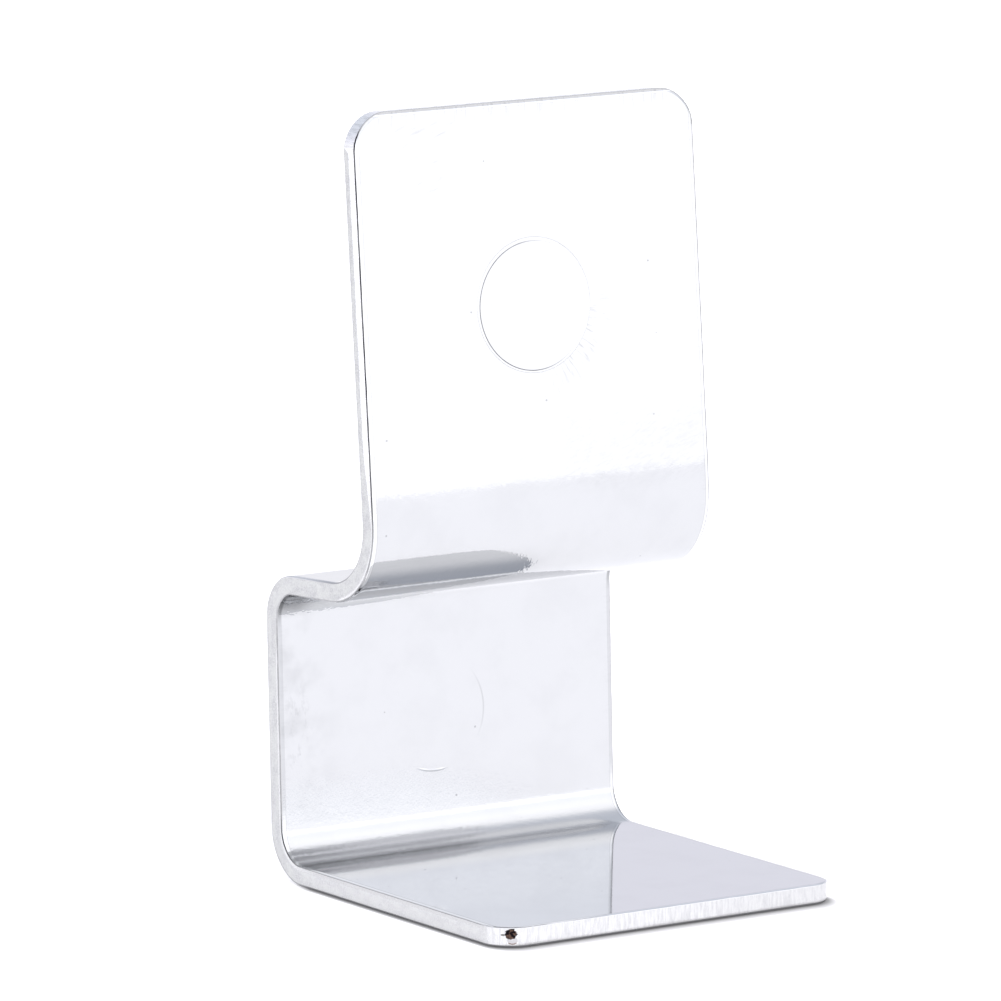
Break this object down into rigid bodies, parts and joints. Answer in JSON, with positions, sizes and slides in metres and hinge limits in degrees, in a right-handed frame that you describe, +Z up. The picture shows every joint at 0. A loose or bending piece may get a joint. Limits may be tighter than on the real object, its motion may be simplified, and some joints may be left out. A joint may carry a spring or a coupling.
{
  "type": "headphone hook",
  "caption": "Bent sheet-steel headphone hook: base plate, web, short step and tall plate with a round disc pressed flush into it, all in mirror chrome.",
  "frame": {"origin": "centre of the footprint, on the surface that the base plate's underside rests on", "axes": "+Z up; -Y is the front, towards which the base plate reaches; +X across the strip, to the right seen from the front"},
  "size_m": [0.03, 0.0312, 0.0584],
  "materials": {
    "bracket_chrome": "mirror chrome plating on the faces, with fine polishing marks; duller, grainy plated cut edges",
    "disc_chrome": "mirror chrome plating, polished flush with the plate around it"
  },
  "bodies": {
    "root": {"bracket": "bracket_chrome", "disc": "disc_chrome"}
  },
  "joints": []
}
